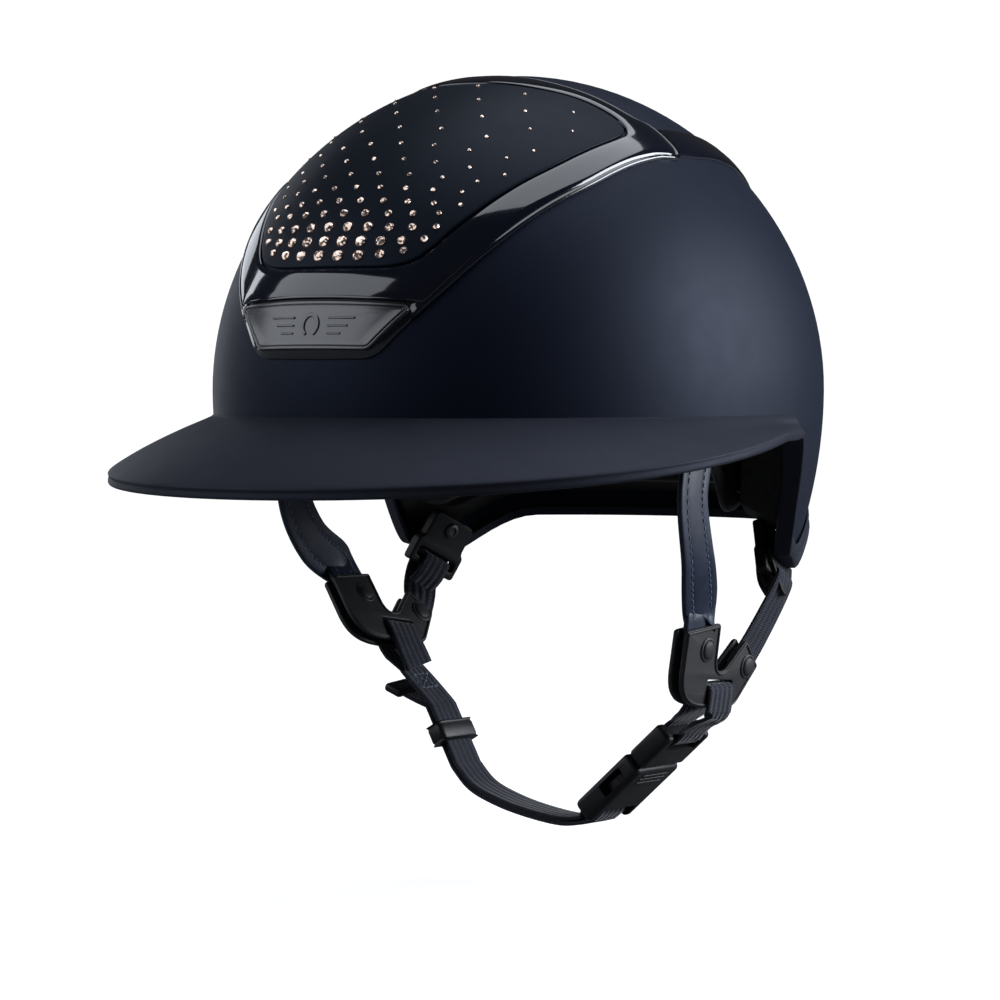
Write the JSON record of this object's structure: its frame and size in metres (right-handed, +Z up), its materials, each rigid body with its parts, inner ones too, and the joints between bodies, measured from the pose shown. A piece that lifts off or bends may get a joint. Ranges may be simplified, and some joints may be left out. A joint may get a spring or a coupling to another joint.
{
  "type": "equestrian riding helmet",
  "caption": "Wide-brimmed riding helmet with a jewelled front panel, gloss trim frame, foam liner with pads, rear cradle and a two-sided strap harness with a side-release buckle.",
  "frame": {"origin": "Centre of the head opening on the brow line, on the symmetry plane of the shell", "axes": "+Z up, -Y the front of the helmet, +X the wearer's left"},
  "size_m": [0.2498, 0.3017, 0.2864],
  "materials": {
    "shell_matte": "soft-touch matte navy paint",
    "brim_matte": "soft-touch matte grey-navy",
    "gloss_lacquer": "polished navy lacquer",
    "panel_matte": "matte near-black navy",
    "crystal": "faceted rose crystal",
    "badge_satin": "satin charcoal",
    "badge_relief": "satin grey relief",
    "black_plastic": "matte black",
    "liner_foam": "black expanded foam",
    "pad_fabric": "black wicking fabric over foam",
    "nape_fabric": "grey-black fabric over foam",
    "hook_tape": "black hook tape",
    "charcoal_plastic": "moulded charcoal nylon",
    "rivet_steel": "plain steel",
    "strap_leather": "navy grained leather, stitched",
    "webbing": "navy-grey woven webbing"
  },
  "bodies": {
    "helmet": {"outer_shell": "shell_matte", "brim": "brim_matte", "gloss_frame": "gloss_lacquer", "rear_frame": "gloss_lacquer", "front_panel": "panel_matte", "crystals_large": "crystal", "crystals_medium": "crystal", "crystals_small": "crystal", "badge_plate": "badge_satin", "badge_emblem": "badge_relief", "intake_insert": "black_plastic", "rear_louvres": "black_plastic", "foam_liner": "liner_foam", "brow_pad": "pad_fabric", "crown_pad": "pad_fabric", "side_pad_left": "pad_fabric", "side_pad_right": "pad_fabric", "hook_dots": "hook_tape", "rear_cradle": "charcoal_plastic", "nape_pad": "nape_fabric", "cradle_pins": "charcoal_plastic", "front_anchor_left": "black_plastic", "front_anchor_right": "black_plastic", "anchor_rivets": "rivet_steel", "rear_clip_left": "charcoal_plastic", "rear_clip_right": "charcoal_plastic", "rear_clip_screws": "rivet_steel", "front_strap_left": "strap_leather", "front_strap_right": "strap_leather", "rear_strap_left": "webbing", "rear_strap_right": "webbing", "divider_outer_left": "charcoal_plastic", "divider_inner_left": "charcoal_plastic", "divider_outer_right": "charcoal_plastic", "divider_inner_right": "charcoal_plastic", "divider_rivets": "charcoal_plastic", "chin_strap": "webbing", "strap_end_cap": "charcoal_plastic", "buckle_plug": "charcoal_plastic", "buckle_loop": "webbing"},
    "keeper": {"strap_keeper": "charcoal_plastic"},
    "socket": {"buckle_socket": "charcoal_plastic"},
    "prong_front": {"buckle_prong_front": "charcoal_plastic"},
    "prong_rear": {"buckle_prong_rear": "charcoal_plastic"}
  },
  "joints": [
    {"name": "keeper_slide", "type": "slide", "parent": "helmet", "child": "keeper", "axis": [0.4996, -0.04, -0.8653], "range_m": [-0.005, 0.009]},
    {"name": "buckle_release", "type": "slide", "parent": "helmet", "child": "socket", "axis": [-0.7547, 0, -0.6561], "range_m": [0, 0.024], "deforming": ["chin_strap"]},
    {"name": "prong_squeeze_front", "type": "hinge", "parent": "helmet", "child": "prong_front", "pos_m": [0.04955, 0.013, -0.12544], "axis": [0.6561, 0, -0.7547], "range_deg": [0, 7], "stiffness_Nm_per_rad": 0.05},
    {"name": "prong_squeeze_rear", "type": "hinge", "parent": "helmet", "child": "prong_rear", "pos_m": [0.04955, 0.027, -0.12544], "axis": [-0.6561, 0, 0.7547], "range_deg": [0, 7], "stiffness_Nm_per_rad": 0.05}
  ],
  "couplings": [
    {"joint": "prong_squeeze_rear", "follows": "prong_squeeze_front", "ratio": 1}
  ]
}
